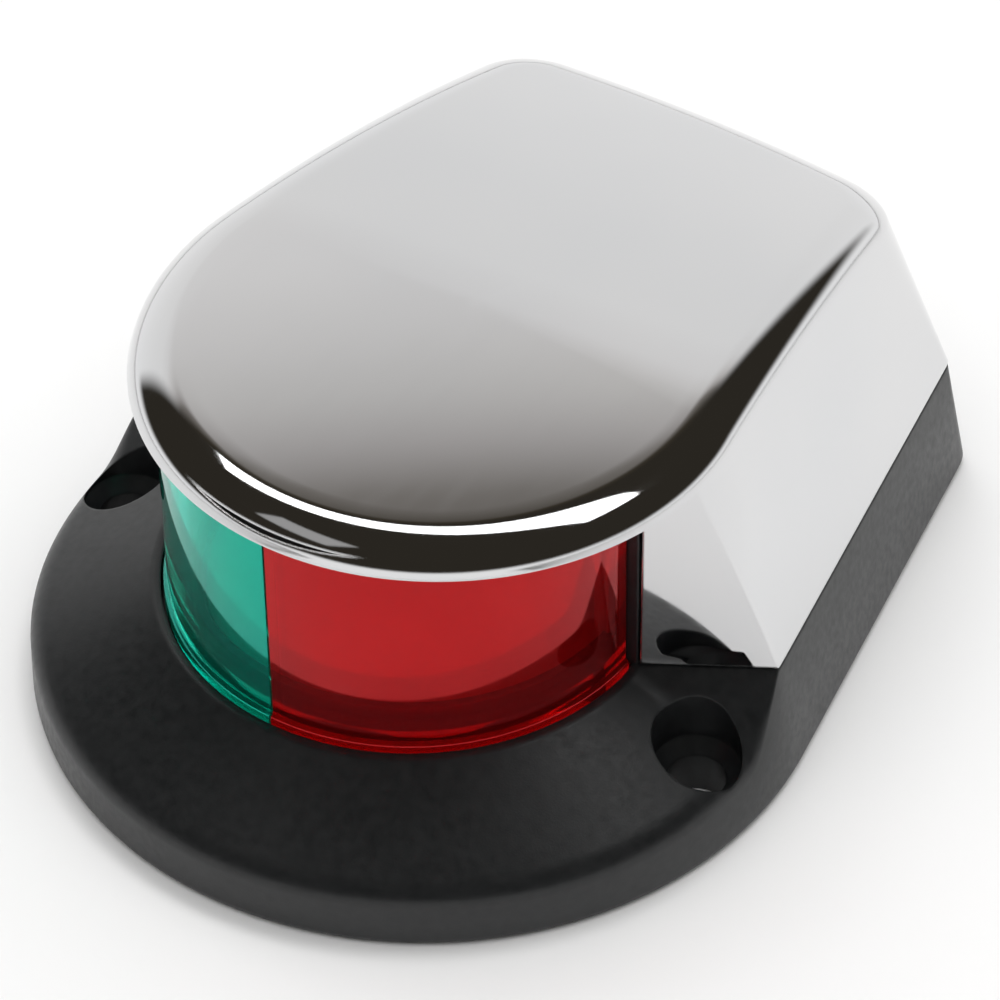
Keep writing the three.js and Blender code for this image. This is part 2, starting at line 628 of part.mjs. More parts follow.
const finish = (color, roughness, metalness = 0) => (
  () => new THREE.MeshStandardMaterial({ color, roughness, metalness })
);
const blackPlastic = finish(0x1a1b1c, 0.55);
const chromePlate = finish(0xd9dadc, 0.08, 1);
const greenLens = finish(0x05805c, 0.12);
const redLens = finish(0x9a1119, 0.12);
const rubber = finish(0x141414, 0.85);
const stainless = finish(0xb9bbbe, 0.3, 1);
const whitePlastic = finish(0xe9e9e4, 0.35);
const naturalNylon = finish(0xd8d2c0, 0.5);
const zincSteel = finish(0xa8abad, 0.4, 1);
const brass = finish(0xb8923f, 0.35, 1);
const clearGlass = finish(0xdfe6e8, 0.05);
const nickelWire = finish(0x9b9a96, 0.35, 1);
const tungsten = finish(0x55565a, 0.5, 1);

// ---------- assembly ----------

const light = new THREE.Group();
light.name = 'navigation_light';
const onLensAxis = new THREE.Group();
onLensAxis.position.y = -(BASE.rearY + BASE.centreY - BASE.radius) / 2;
light.add(onLensAxis);

function place(name, body, material, x = 0, y = 0) {
  const mesh = new THREE.Mesh(geometryOf(body), material());
  mesh.name = name;
  mesh.position.set(x, y, 0);
  onLensAxis.add(mesh);
}

place('base', makeBase(), blackPlastic);
place('top_cover', makeCover(), chromePlate);
place('lens_red', makeLens(1), redLens);
place('lens_green', makeLens(-1), greenLens);
place('lens_seal_lower', makeLowerSeal(), rubber);
place('lens_seal_upper', makeUpperSeal(), rubber);
place('housing_seal', makeHousingSeal(), rubber);
place('deck_gasket', makeDeckGasket(), rubber);
place('wire_grommet', makeGrommet(), rubber);
for (const { side, x, y } of COVER_SCREWS) {
  place(`cover_screw_${side}`, makeCoverScrew(), stainless, x, y);
  place(`cover_screw_washer_${side}`, makeWasher(), stainless, x, y);
}
place('reflector', makeReflector(), whitePlastic);
place('lamp_bracket', makeBracket(), zincSteel);
place('bracket_screw_port', makeBracketScrew(), stainless, BRACKET_SCREW.x, BRACKET_SCREW.y);
place('bracket_screw_starboard', makeBracketScrew(), stainless, -BRACKET_SCREW.x, BRACKET_SCREW.y);
place('lamp_holder', makeHolder(), naturalNylon);
place('contact_upper', makeContact(1), brass);
place('contact_lower', makeContact(-1), brass);
place('bulb_glass', makeBulbGlass(), clearGlass);
place('bulb_lead_port', makeLead(1), nickelWire);
place('bulb_lead_starboard', makeLead(-1), nickelWire);
place('bulb_filament', makeFilament(), tungsten);

export default light;
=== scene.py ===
"""Looks for the bow navigation light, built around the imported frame.

Lengths are millimetres around the lens axis, as in the CAD, until a mesh is made; Blender objects
are in metres in the row frame. The bow is towards -Y and the port (red) side is +X.
"""

import json
import math

import bmesh
import bpy
import numpy as np
from mathutils import Matrix, Vector

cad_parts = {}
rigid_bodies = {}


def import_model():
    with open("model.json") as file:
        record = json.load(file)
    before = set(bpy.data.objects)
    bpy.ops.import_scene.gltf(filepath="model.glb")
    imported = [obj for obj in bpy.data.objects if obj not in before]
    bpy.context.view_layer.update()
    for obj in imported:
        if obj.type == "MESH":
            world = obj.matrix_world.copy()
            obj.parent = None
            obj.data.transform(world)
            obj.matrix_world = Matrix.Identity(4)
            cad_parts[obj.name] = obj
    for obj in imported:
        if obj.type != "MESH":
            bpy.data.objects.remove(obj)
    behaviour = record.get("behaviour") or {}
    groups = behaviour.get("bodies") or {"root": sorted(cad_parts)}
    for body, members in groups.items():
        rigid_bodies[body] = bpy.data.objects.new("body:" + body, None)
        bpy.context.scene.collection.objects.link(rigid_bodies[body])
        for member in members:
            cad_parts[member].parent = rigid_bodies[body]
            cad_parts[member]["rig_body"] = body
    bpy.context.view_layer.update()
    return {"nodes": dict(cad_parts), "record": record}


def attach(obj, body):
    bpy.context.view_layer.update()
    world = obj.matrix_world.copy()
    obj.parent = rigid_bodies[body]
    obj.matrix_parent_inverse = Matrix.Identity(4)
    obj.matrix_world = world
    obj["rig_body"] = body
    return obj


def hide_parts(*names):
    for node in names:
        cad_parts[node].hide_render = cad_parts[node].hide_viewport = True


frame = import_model()
NODES = frame["nodes"]

# ---------- dimensions shared with the frame ----------

MM = 0.001
LENS_AXIS_Y = -10.7  # where the lens axis stands in the row frame
GAP = 0.3  # clearance between neighbouring pieces

# Plan outlines: a front arc, straight tapering sides, rounded rear corners, bowed rear edge.
BASE = {"radius": 40.8, "centre_y": 2.3, "taper": 10.0, "rear_y": 59.9, "rear_radius": 240.0, "corner": 4.0}
TOP = {"radius": 30.9, "centre_y": 5.8, "taper": 8.6, "rear_y": 56.9, "rear_radius": 160.0, "corner": 8.2}
SEAM_INSET = 2.2  # how far the drafted base wall leans in by the seam with the cover

BASE_TOP = 13.6  # flat top of the base's rear block
BASE_WALL = 4.6
BASE_FLOOR = 2.7
DRAFT_START_Y = -22.0  # the rim is upright ahead of here
DRAFT_FULL_Y = 4.0  # and leans in fully aft of here
FOOT_TOP = 0.9
FOOT_ROUND = ((0.7, 0.0), (0.4, 0.07), (0.2, 0.25), (0.05, 0.55), (0.0, FOOT_TOP))  # inset and height
RIM_TOP = 7.4
SEAT_RADIUS = 26.6  # flat ring that the lens stands in
SEAT_Z = 13.2
COLLAR = {"inner": 21.5, "top": 16.8}  # stands inside the lens foot
HOLLOW = {"floor": 2.4, "under_seat": 3.2, "roof_inset": 1.6}  # the space under the base
RIBS = {"xs": (-12, 0, 12), "half": 0.9, "from_y": -33, "to_y": 18, "bottom": 4, "top": 12}
GASKET_GROOVE = {"from": 1.4, "to": 2.7, "depth": 1.2}
SEAL_GROOVE = {"from": 0.4, "to": 1.9, "depth": 1.2}  # between base and cover, aft of the lens

COVER_BOTTOM = BASE_TOP + GAP
COVER_WALL = 2.2
LIP_Z = 37.1  # underside of the roof over the lens
ROOF_EDGE_Z = 37.6  # where the upright lip starts to round over
ROOF_TOP = 40.5
ROOF_EDGE_WIDTH = 4.6
ROOF_INSIDE_Z = 38.2
ROOF_RECESS_RADIUS = 21.5  # over the bulb
ROOF_FALL = {"from_y": 10.5, "rate": 0.0031}  # aft of from_y the roof curves down to the rear
UPPER_SEAL = {"inner": 22.7, "outer": 24.8, "depth": 1.4}  # groove in the roof, on top of the lens
COVER_POST = {"radius": 4.0, "bore_top": 28.0}

LENS_RADIUS = 25.0
LENS_WALL = 2.4
LENS_BOTTOM = 12.4
LENS_TOP = 36.85
LENS_FOOT_RADIUS = 25.4
LENS_FOOT_TOP = 14.0
LENS_SPLIT = 0.12  # half of the joint line between the two colours
GROOVE_BOTTOM = 11.0
POST_RADIUS = 26.2
POST_END_Y = 3.8
CHAMBER_RADIUS = POST_RADIUS + GAP

# The walls beside the lens start at its rear ends and sweep back past the lit arc.
WALL_START = (CHAMBER_RADIUS, 0.32)
WALL_SWEEP = math.radians(30.2)
WALL_LEAN = 0.01  # how far the wall leans back for each millimetre of height
RAMP_SLOPE = 0.95  # forward run of the base's ramp below the wall, per millimetre down

MOUNT_HOLE = {"x": 34.8, "y": -2.3, "radius": 3.0, "head": 4.5, "boss": 6.9}
SEAT_CONE = (4.7, 6.1)  # foot and top of the conical seat in a mounting hole
COVER_SCREWS = ((28.5, 13.5), (-28.5, 13.5), (0.0, 45.0))
SCREW = {"shank": 1.9, "head": 3.7, "seat_z": 6.5, "boss": 6.2}
BRACKET_SCREW = (8.0, 29.5)
BRACKET_BOSS = {"radius": 3.0, "bottom": 8.6, "pilot": 1.5, "pilot_bottom": 9.6}
GROMMET = {"x": 17.0, "y": 38.0, "waist": 4.7}

# ---------- dimensions of the fine surface ----------

EDGE_LEAN = 0.29  # how far the roof's round leans in for each millimetre of its height
CROWN_Y = 12.0  # the roof is highest here
CROWN_ACROSS = 0.25  # how much lower it is at its sides
CROWN_AHEAD = 0.35  # and at CROWN_LENGTH ahead of its highest point
CROWN_LENGTH = 39.0

RIM_WIDTH = 2.0  # of the round along the top of the rim
RIM_HEIGHT = 2.4
TIGHT_ROUND = 0.3  # its width and height along the rear block
TIGHTEN_BELOW = 1.5  # it has tightened this far below the top of the rear block
RIM_ROUND = {"start": 0.05, "corner": 0.1, "steps": 9}  # shares of its width, and steps along it
SLOPE_STEP = 0.4  # step inwards over which the flange's slope is found
SLOPE_RANGE = (-0.2, 0.6)
FLANGE_ROWS = 40
SEAT_RINGS = (26.2, 25.0, 23.0, 20.0, 14.0, 7.0, 2.0)
RAMP_FILLET = 1.6
CREST_REACH = 0.5  # points this near the crest of the ramp are moved onto it
PAST_RIM = 1.3  # how far out the flange goes on sloping, as a share of the way to the rim
MIN_CORNER = 1.2  # tightest rear corner of any outline
ARC_STEP = 1.5  # degrees

# Limits of the cutting tools, outside everything that they cut.
FAR_SIDE = 60.0
FAR_AFT = 90.0
HIGH = 60.0
ABOVE_BASE = 20.0
BELOW_BASE = -3.0
OVERLAP = 1.0  # how far a tool runs past a face, so that none ends flush with it
AFT_OVERLAP = 1.5  # of the space in the rear block, so that it isn't flush with the one in front
POST_ROOT = 0.5  # how deep the lens posts stand in the floor of the lens groove
LENS_GROOVE_PAST = 8.5  # degrees that the lens groove runs on past the lens
SEAL_AHEAD = 4.0  # how far the seal groove runs on ahead of the side cover screws

# ---------- mesh helpers ----------


def new_object(name, vertices, faces):
    """A mesh object from vertices in millimetres around the lens axis."""
    points = np.asarray(vertices, float) + (0.0, LENS_AXIS_Y, 0.0)
    mesh = bpy.data.meshes.new(name)
    mesh.from_pydata((points * MM).tolist(), [], faces)
    obj = bpy.data.objects.new(name, mesh)
    bpy.context.scene.collection.objects.link(obj)
    bm = bmesh.new()
    bm.from_mesh(mesh)
    bmesh.ops.recalc_face_normals(bm, faces=bm.faces)
    bm.to_mesh(mesh)
    bm.free()
    return obj


def bridge(ring_count, size):
    """Quads between neighbouring closed rings of the same size."""
    faces = []
    for ring in range(ring_count - 1):
        low = ring * size
        for i in range(size):
            j = (i + 1) % size
            faces.append((low + i, low + j, low + size + j, low + size + i))
    return faces


def loft(name, rings):
    """Closed solid through rings of points, with a cap on each end."""
    size = len(rings[0])
    faces = bridge(len(rings), size)
    last = (len(rings) - 1) * size
    faces.append(tuple(range(size)))
    faces.append(tuple(range(last, last + size)))
    return new_object(name, np.concatenate(rings), faces)


def closed_tube(name, rings):
    """Closed solid through rings of points whose last ring joins the first."""
    size = len(rings[0])
    faces = bridge(len(rings), size)
    last = (len(rings) - 1) * size
    for i in range(size):
        j = (i + 1) % size
        faces.append((last + i, last + j, j, i))
    return new_object(name, np.concatenate(rings), faces)


def circle(x, y, radius, segments):
    """Plan points of a circle."""
    angles = np.linspace(0, 2 * math.pi, segments, endpoint=False)
    return np.stack([x + radius * np.cos(angles), y + radius * np.sin(angles)], 1)


def turned(name, profile, segments=96):
    """Closed (radius, height) polygon turned around the lens axis."""
    return closed_tube(name, [at_height(circle(0, 0, r, segments), z) for r, z in profile])


def drum(name, x, y, radius, z0, z1, segments=96):
    """Upright cylinder."""
    return stepped(name, x, y, ((radius, z0, z1),), segments)


def stepped(name, x, y, steps, segments=96):
    """Coaxial drums of (radius, from z, to z); neighbours are joined by a flat step or a cone."""
    rings = []
    for radius, *heights in steps:
        rings += [at_height(circle(x, y, radius, segments), z) for z in heights]
    return loft(name, rings)


def block(name, x0, x1, y0, y1, z0, z1):
    """Upright box."""
    plan = np.array([(x0, y0), (x1, y0), (x1, y1), (x0, y1)], float)
    return loft(name, [at_height(plan, z) for z in (z0, z1)])


def at_height(points, z):
    """Plan points with a height: one for all of them, or one for each."""
    return np.column_stack([points, np.broadcast_to(z, len(points))])


def joined(name, objects):
    """One object holding the separate shells of several."""
    bm = bmesh.new()
    for obj in objects:
        bm.from_mesh(obj.data)
        bpy.data.objects.remove(obj)
    mesh = bpy.data.meshes.new(name)
    bm.to_mesh(mesh)
    bm.free()
    result = bpy.data.objects.new(name, mesh)
    bpy.context.scene.collection.objects.link(result)
    return result


def boolean(obj, tool, operation="DIFFERENCE"):
    """Cuts, joins or intersects obj with a tool, which is used up."""
    modifier = obj.modifiers.new("cut", "BOOLEAN")
    modifier.operation = operation
    modifier.solver = "EXACT"
    modifier.object = tool
    bpy.context.view_layer.update()
    shape = bpy.data.meshes.new_from_object(obj.evaluated_get(bpy.context.evaluated_depsgraph_get()))
    obj.modifiers.clear()
    obj.data = shape
    bpy.data.objects.remove(tool)
    return obj


# ---------- plan outlines ----------


def outline(shape, front=110, side=24, corner=14, rear=16):
    """Points and outward normals of a plan outline, anticlockwise from the bow."""
    taper = math.radians(shape["taper"])
    radius, corner_r = shape["radius"], shape["corner"]
    along = np.array([-math.sin(taper), math.cos(taper)])
    start = np.array([math.cos(taper), math.sin(taper)]) * (radius - corner_r) + (0, shape["centre_y"])
    rear_centre = np.array([0.0, shape["rear_y"] - shape["rear_radius"]])
    offset = start - rear_centre
    step = offset @ along
    reach = (shape["rear_radius"] - corner_r) ** 2 - offset @ offset
    corner_centre = start + along * (math.sqrt(step * step + reach) - step)
    corner_end = math.atan2(*(corner_centre - rear_centre)[::-1])

    def arc(centre, r, low, high, count):
        angles = np.linspace(low, high, count + 1)
        normals = np.stack([np.cos(angles), np.sin(angles)], 1)
        return np.asarray(centre) + r * normals, normals

    bow, bow_n = arc((0, shape["centre_y"]), radius, -math.pi / 2, taper, front)
    turn, turn_n = arc(corner_centre, corner_r, taper, corner_end, corner)
    back, back_n = arc(rear_centre, shape["rear_radius"], corner_end, math.pi / 2, rear)
    shares = np.linspace(0, 1, side + 1)[1:-1, None]
    straight = bow[-1] * (1 - shares) + turn[0] * shares
    straight_n = np.repeat(bow_n[-1:], len(straight), 0)
    points = np.concatenate([bow, straight, turn, back[1:]])
    normals = np.concatenate([bow_n, straight_n, turn_n, back_n[1:]])
    mirror = (-1, 1)
    return (
        np.concatenate([points, (points * mirror)[-2:0:-1]]),
        np.concatenate([normals, (normals * mirror)[-2:0:-1]]),
    )


def inset(shape, distance):
    """Points of an outline moved inwards, which keeps their number and order."""
    points, normals = outline(shape)
    return points - normals * distance


def shrunk(shape, distance):
    """The outline that runs inside another at that distance."""
    smaller = dict(shape)
    smaller["radius"] -= distance
    smaller["rear_y"] -= distance
    smaller["corner"] = max(shape["corner"] - distance, MIN_CORNER)
    return smaller


def between(a, b, share):
    """The outline part of the way from a to b."""
    return {key: a[key] * (1 - share) + b[key] * share for key in a}


def smooth_step(x, low, high):
    """Rises smoothly from 0 at low to 1 at high."""
    t = np.clip((x - low) / (high - low), 0, 1)
    return t * t * (3 - 2 * t)


def wall_line(z, run):
    """Near and far end of a swept wall on the port side, moved forward by run(z) at height z."""
    x = WALL_START[0] + math.sin(WALL_SWEEP) * run(z)
    y = WALL_START[1] - math.cos(WALL_SWEEP) * run(z)
    return (x, y), (x + FAR_SIDE * math.cos(WALL_SWEEP), y + FAR_SIDE * math.sin(WALL_SWEEP))


def behind_walls(name, z0, z1, run):
    """Everything behind the swept walls beside the lens."""
    rings = []
    for z in (z0, z1):
        (x, y), (far_x, far_y) = wall_line(z, run)
        plan = [(-x, y), (x, y), (far_x, far_y), (far_x, FAR_AFT), (-far_x, FAR_AFT), (-far_x, far_y)]
        rings.append(at_height(np.array(plan), z))
    return loft(name, rings)


def ahead_of_walls(name, z0, z1, run):
    """Everything in front of the same walls."""
    rings = []
    for z in (z0, z1):
        (x, y), (far_x, far_y) = wall_line(z, run)
        plan = [(-x, y), (-far_x, far_y), (-far_x, -FAR_AFT), (far_x, -FAR_AFT), (far_x, far_y), (x, y)]
        rings.append(at_height(np.array(plan), z))
    return loft(name, rings)


# ---------- top cover ----------


def roof_fall(points):
    """How far the roof has curved down, aft of its level front."""
    return ROOF_FALL["rate"] * np.clip(points[:, 1] - ROOF_FALL["from_y"], 0, None) ** 2


def crown(points):
    """Height of the roof before it curves down to the rear."""
    across = (points[:, 0] / TOP["radius"]) ** 2
    ahead = np.clip((CROWN_Y - points[:, 1]) / CROWN_LENGTH, 0, None) ** 2
    return ROOF_TOP - CROWN_ACROSS * across - CROWN_AHEAD * ahead


def wall_ring(z, thickness=0):
    """The cover's wall, thickness in from its face, at height z where the roof is level."""
    share = (z - COVER_BOTTOM) / (ROOF_EDGE_Z - COVER_BOTTOM)
    points = outline(shrunk(between(shrunk(BASE, SEAM_INSET), TOP, share), thickness))[0]
    return at_height(points, z - share * roof_fall(points))


def rings_inward(edge, count, height):
    """Rings from an outline in to the middle of the roof."""
    rings = []
    for share in np.linspace(0, 1, count)[1:-1]:
        points = edge[:, :2] + (np.array([0.0, CROWN_Y]) - edge[:, :2]) * share
        rings.append(at_height(points, height(points) - roof_fall(points)))
    return rings


def edge_rings():
    """The round of the roof's edge, from the upright lip in to the roof."""
    steps = 22
    rings = []
    for i in range(1, steps + 1):
        angle = math.pi / 2 * i / steps
        share = math.sin(angle)
        leaning = EDGE_LEAN * (ROOF_TOP - ROOF_EDGE_Z) * share * math.cos(angle)
        points = inset(TOP, ROOF_EDGE_WIDTH * (1 - math.cos(angle)) + leaning)
        z = ROOF_EDGE_Z + (crown(points) - ROOF_EDGE_Z) * share - roof_fall(points)
        rings.append(at_height(points, z))
    return rings


def cover_outer():
    """The cover before it is hollowed out."""
    rings = [wall_ring(z) for z in np.linspace(COVER_BOTTOM, LIP_Z, 7)]
    rings.append(wall_ring(ROOF_EDGE_Z))
    rings += edge_rings()
    rings += rings_inward(rings[-1], 21, crown)
    size = len(rings[0])
    faces = bridge(len(rings), size)
    centre = np.array([[0.0, CROWN_Y]])
    vertices = np.concatenate(rings + [at_height(centre, crown(centre) - roof_fall(centre))])
    last = (len(rings) - 1) * size
    faces.append(tuple(range(size)))
    for i in range(size):
        faces.append((last + i, last + (i + 1) % size, last + size))
    return new_object("cover_shell", vertices, faces)


def cover_cavity(lean):
    """The space inside the cover, around its screw posts."""
    rings = [wall_ring(z, COVER_WALL) for z in (COVER_BOTTOM - OVERLAP, ROOF_INSIDE_Z)]
    rings += rings_inward(rings[-1], 13, lambda points: ROOF_INSIDE_Z)
    cavity = loft("cavity", rings)
    boolean(cavity, behind_walls("set_back", 0, HIGH, lambda z: lean(z) - COVER_WALL), "INTERSECT")
    posts = [drum("post", x, y, COVER_POST["radius"], 0, HIGH, 48) for x, y in COVER_SCREWS]
    return boolean(cavity, joined("posts", posts))


def make_cover():
    """The chromed cover, with its screw posts, lens chamber and seal groove."""

    def lean(z):
        return (COVER_BOTTOM - z) * WALL_LEAN

    cover = cover_outer()
    boolean(cover, ahead_of_walls("ahead", 0, LIP_Z, lean))
    boolean(cover, cover_cavity(lean))
    boolean(cover, drum("chamber", 0, 0, CHAMBER_RADIUS, 0, LIP_Z, 192))
    inner, outer = UPPER_SEAL["inner"], UPPER_SEAL["outer"]
    low, high = LIP_Z - OVERLAP, LIP_Z + UPPER_SEAL["depth"]
    seal = [(inner, low), (outer, low), (outer, high), (inner, high)]
    tools = [turned("seal_groove", seal, segments=128)]
    tools.append(drum("recess", 0, 0, ROOF_RECESS_RADIUS, LIP_Z - OVERLAP, ROOF_INSIDE_Z, 128))
    for x, y in COVER_SCREWS:
        tools.append(drum("bore", x, y, SCREW["shank"] + GAP, 0, COVER_POST["bore_top"], 32))
    return boolean(cover, joined("bores", tools))


# ---------- base ----------


def soft_max(a, b, width):
    """Larger of two heights, with a concave fillet of that width where they meet."""
    gap = np.clip(1 - np.abs(a - b) / width, 0, 1)
    return np.maximum(a, b) + gap * gap * width / 4


def polar_reach(points, angles):
    """How far a plan outline lies from the lens axis in each direction."""
    own = np.unwrap(np.arctan2(points[:, 1], points[:, 0]))
    radii = np.hypot(points[:, 0], points[:, 1])
    own = np.concatenate([own - 2 * math.pi, own, own + 2 * math.pi])
    return np.interp(angles, own, np.tile(radii, 3))


RIM_CURVE = inset(BASE, RIM_WIDTH)


def flange_height(points):
    """The flange slopes down evenly from the lens seat to the rim, and a little way past it."""
    angles = np.arctan2(points[:, 1], points[:, 0])
    edge = polar_reach(RIM_CURVE, angles)
    share = (np.hypot(points[:, 0], points[:, 1]) - SEAT_RADIUS) / (edge - SEAT_RADIUS)
    return SEAT_Z - (SEAT_Z - RIM_TOP) * np.clip(share, 0, PAST_RIM)


def ahead_of_crest(points):
    """How far points lie in front of the line where the ramp meets the walls."""
    across = np.abs(points[:, 0]) - WALL_START[0]
    back = points[:, 1] - WALL_START[1]
    swept = across * math.sin(WALL_SWEEP) - back * math.cos(WALL_SWEEP)
    straight = -back * math.cos(WALL_SWEEP)
    return np.where(across > 0, swept, straight)


def ramp_height(points):
    """The ramp falls forward from the crest, and the rear block behind it is flat."""
    return BASE_TOP - np.maximum(ahead_of_crest(points), 0) / RAMP_SLOPE


def with_straight_crest(points):
    """A ring whose nearest point on each side is moved onto the crest, which keeps it straight."""
    moved = points.copy()
    ahead = ahead_of_crest(points)
    for side in (-1, 1):
        beside = (side * points[:, 0] > WALL_START[0]) & (np.abs(ahead) < CREST_REACH)
        if beside.any():
            nearest = np.where(beside, np.abs(ahead), np.inf).argmin()
            normal = np.array([side * math.sin(WALL_SWEEP), -math.cos(WALL_SWEEP)])
            moved[nearest] -= normal * ahead[nearest]
    return moved


def top_height(points):
    """Top of the base at each plan point."""
    return np.minimum(soft_max(flange_height(points), ramp_height(points), RAMP_FILLET), BASE_TOP)


def lean_in(points, z):
    """How far the drafted wall of the base has leant in at each point."""
    share = smooth_step(points[:, 1], DRAFT_START_Y, DRAFT_FULL_Y)
    return SEAM_INSET * share * np.clip(z - FOOT_TOP, 0, None) / (BASE_TOP - FOOT_TOP)


def rim_rings():
    """The base's wall from its foot up, and the round over to its top."""
    points, normals = outline(BASE)

    def at(inset_by, z):
        z = np.broadcast_to(z, len(points))
        shift = (inset_by + lean_in(points, z))[:, None]
        return at_height(points - normals * shift, z)

    rings = [at(by, z) for by, z in FOOT_ROUND]
    edge_height = top_height(inset(BASE, RIM_WIDTH))
    tight = smooth_step(edge_height, RIM_TOP, BASE_TOP - TIGHTEN_BELOW)
    width = RIM_WIDTH * (1 - tight) + TIGHT_ROUND * tight
    height = RIM_HEIGHT * (1 - tight) + TIGHT_ROUND * tight
    for _ in range(3):
        inner = at(width, edge_height)
        edge_height = top_height(inner[:, :2])
    further_in = at(width + SLOPE_STEP, edge_height)[:, :2]
    slope = (top_height(further_in) - edge_height) / SLOPE_STEP
    slope = np.clip(slope, *SLOPE_RANGE)
    start_by, corner_by = width * RIM_ROUND["start"], width * RIM_ROUND["corner"]
    start_z, corner_z = edge_height - height, edge_height - slope * (width - corner_by)
    for i in range(RIM_ROUND["steps"] + 1):
        t = i / RIM_ROUND["steps"]
        a, b, c = (1 - t) ** 2, 2 * t * (1 - t), t * t
        by = a * start_by + b * corner_by + c * width
        rings.append(at(by, a * start_z + b * corner_z + c * edge_height))
    return rings


def base_outer():
    """The base before its underside and holes are cut."""
    rings = rim_rings()
    rim = rings[-1]
    angles = np.arctan2(rim[:, 1], rim[:, 0])
    reach = np.hypot(rim[:, 0], rim[:, 1])
    outward = np.stack([np.cos(angles), np.sin(angles)], 1)
    for i in range(1, FLANGE_ROWS + 1):
        radius = reach + (SEAT_RADIUS - reach) * i / FLANGE_ROWS
        plan = with_straight_crest(outward * radius[:, None])
        rings.append(at_height(plan, top_height(plan)))
    for radius in SEAT_RINGS:
        plan = outward * radius
        rings.append(at_height(plan, top_height(plan)))
    return loft("base_body", rings)


def hollow():
    """The space under the base, around its bosses and ribs."""
    inner = outline(shrunk(BASE, BASE_WALL))[0]
    angles = np.arctan2(inner[:, 1], inner[:, 0])
    under_seat = (SEAT_RADIUS - BASE_FLOOR) * np.stack([np.cos(angles), np.sin(angles)], 1)
    cone = [at_height(inner, -OVERLAP), at_height(inner, HOLLOW["floor"])]
    cone.append(at_height(under_seat, SEAT_Z - HOLLOW["under_seat"]))
    space = loft("hollow", cone)
    roof = outline(shrunk(BASE, BASE_WALL + HOLLOW["roof_inset"]))[0]
    aft = loft("aft_space", [at_height(inner, -AFT_OVERLAP), at_height(roof, BASE_TOP - BASE_FLOOR)])

    def run(z):
        return (BASE_TOP - z) * RAMP_SLOPE - 2 * BASE_FLOOR

    boolean(aft, behind_walls("set_back", BELOW_BASE, BASE_TOP, run), "INTERSECT")
    boolean(space, aft, "UNION")
    bosses = []
    for side in (-1, 1):
        mount = (side * MOUNT_HOLE["x"], MOUNT_HOLE["y"], MOUNT_HOLE["boss"])
        bracket = (side * BRACKET_SCREW[0], BRACKET_SCREW[1], BRACKET_BOSS["radius"])
        bosses.append(drum("boss", *mount, BELOW_BASE, ABOVE_BASE, 64))
        bosses.append(drum("boss", *bracket, BRACKET_BOSS["bottom"], ABOVE_BASE, 40))
    for x, y in COVER_SCREWS:
        bosses.append(drum("boss", x, y, SCREW["boss"], BELOW_BASE, ABOVE_BASE, 64))
    for boss in bosses:
        boolean(space, boss)
    span = (RIBS["from_y"], RIBS["to_y"], RIBS["bottom"], RIBS["top"])
    ribs = [block("rib", x - RIBS["half"], x + RIBS["half"], *span) for x in RIBS["xs"]]
    return boolean(space, joined("ribs", ribs))


def channel(name, shape, groove, z0, z1):
    """Closed ring between two insets of an outline."""
    outside = inset(shape, groove["from"])
    inside = outline(shrunk(shape, groove["to"]))[0]
    corners = ((outside, z0), (outside, z1), (inside, z1), (inside, z0))
    return closed_tube(name, [at_height(points, z) for points, z in corners])


def swept(name, profile, angle_rows):
    """Closed (radius, height) polygon swept along an arc; each corner has its own row of angles."""
    rings = []
    for turn in zip(*angle_rows):
        corners = [(r * math.cos(angle), r * math.sin(angle), z) for (r, z), angle in zip(profile, turn)]
        rings.append(corners)
    return loft(name, rings)


def ring_sector(name, inner, outer, z0, z1, start, end):
    """Part of an upright ring between two angles in degrees."""
    count = max(6, int(abs(end - start) / ARC_STEP))
    angles = np.radians(np.linspace(start, end, count + 1))
    corners = ((inner, z0), (outer, z0), (outer, z1), (inner, z1))
    return swept(name, corners, [angles] * len(corners))


def lens_posts():
    """The dark posts that stand at the two ends of the lens."""
    start = math.degrees(math.asin(GAP / POST_RADIUS))
    end = math.degrees(math.asin(POST_END_Y / POST_RADIUS))
    size = (LENS_RADIUS - LENS_WALL, POST_RADIUS, GROOVE_BOTTOM - POST_ROOT, LENS_TOP)
    posts = [ring_sector("post", *size, *ends) for ends in ((start, end), (180 - end, 180 - start))]
    return joined("posts", posts)


def base_holes():
    """Mounting holes, pilot holes for the bracket screws, cover screw holes and the wire outlet."""
    tools = []
    foot, top = SEAT_CONE
    steps = ((MOUNT_HOLE["radius"], -OVERLAP, foot), (MOUNT_HOLE["head"], top, ABOVE_BASE))
    pilot = (BRACKET_BOSS["pilot"], BRACKET_BOSS["pilot_bottom"], ABOVE_BASE)
    for side in (-1, 1):
        tools.append(stepped("screw_hole", side * MOUNT_HOLE["x"], MOUNT_HOLE["y"], steps))
        tools.append(drum("pilot", side * BRACKET_SCREW[0], BRACKET_SCREW[1], *pilot, 32))
    head, shank = SCREW["head"] + 2 * GAP, SCREW["shank"] + GAP
    steps = ((head, -OVERLAP, SCREW["seat_z"]), (shank, SCREW["seat_z"], ABOVE_BASE))
    for x, y in COVER_SCREWS:
        tools.append(stepped("cover_screw_hole", x, y, steps, 48))
    tools.append(drum("outlet", GROMMET["x"], GROMMET["y"], GROMMET["waist"] + GAP, 0, ABOVE_BASE, 48))
    return joined("holes", tools)


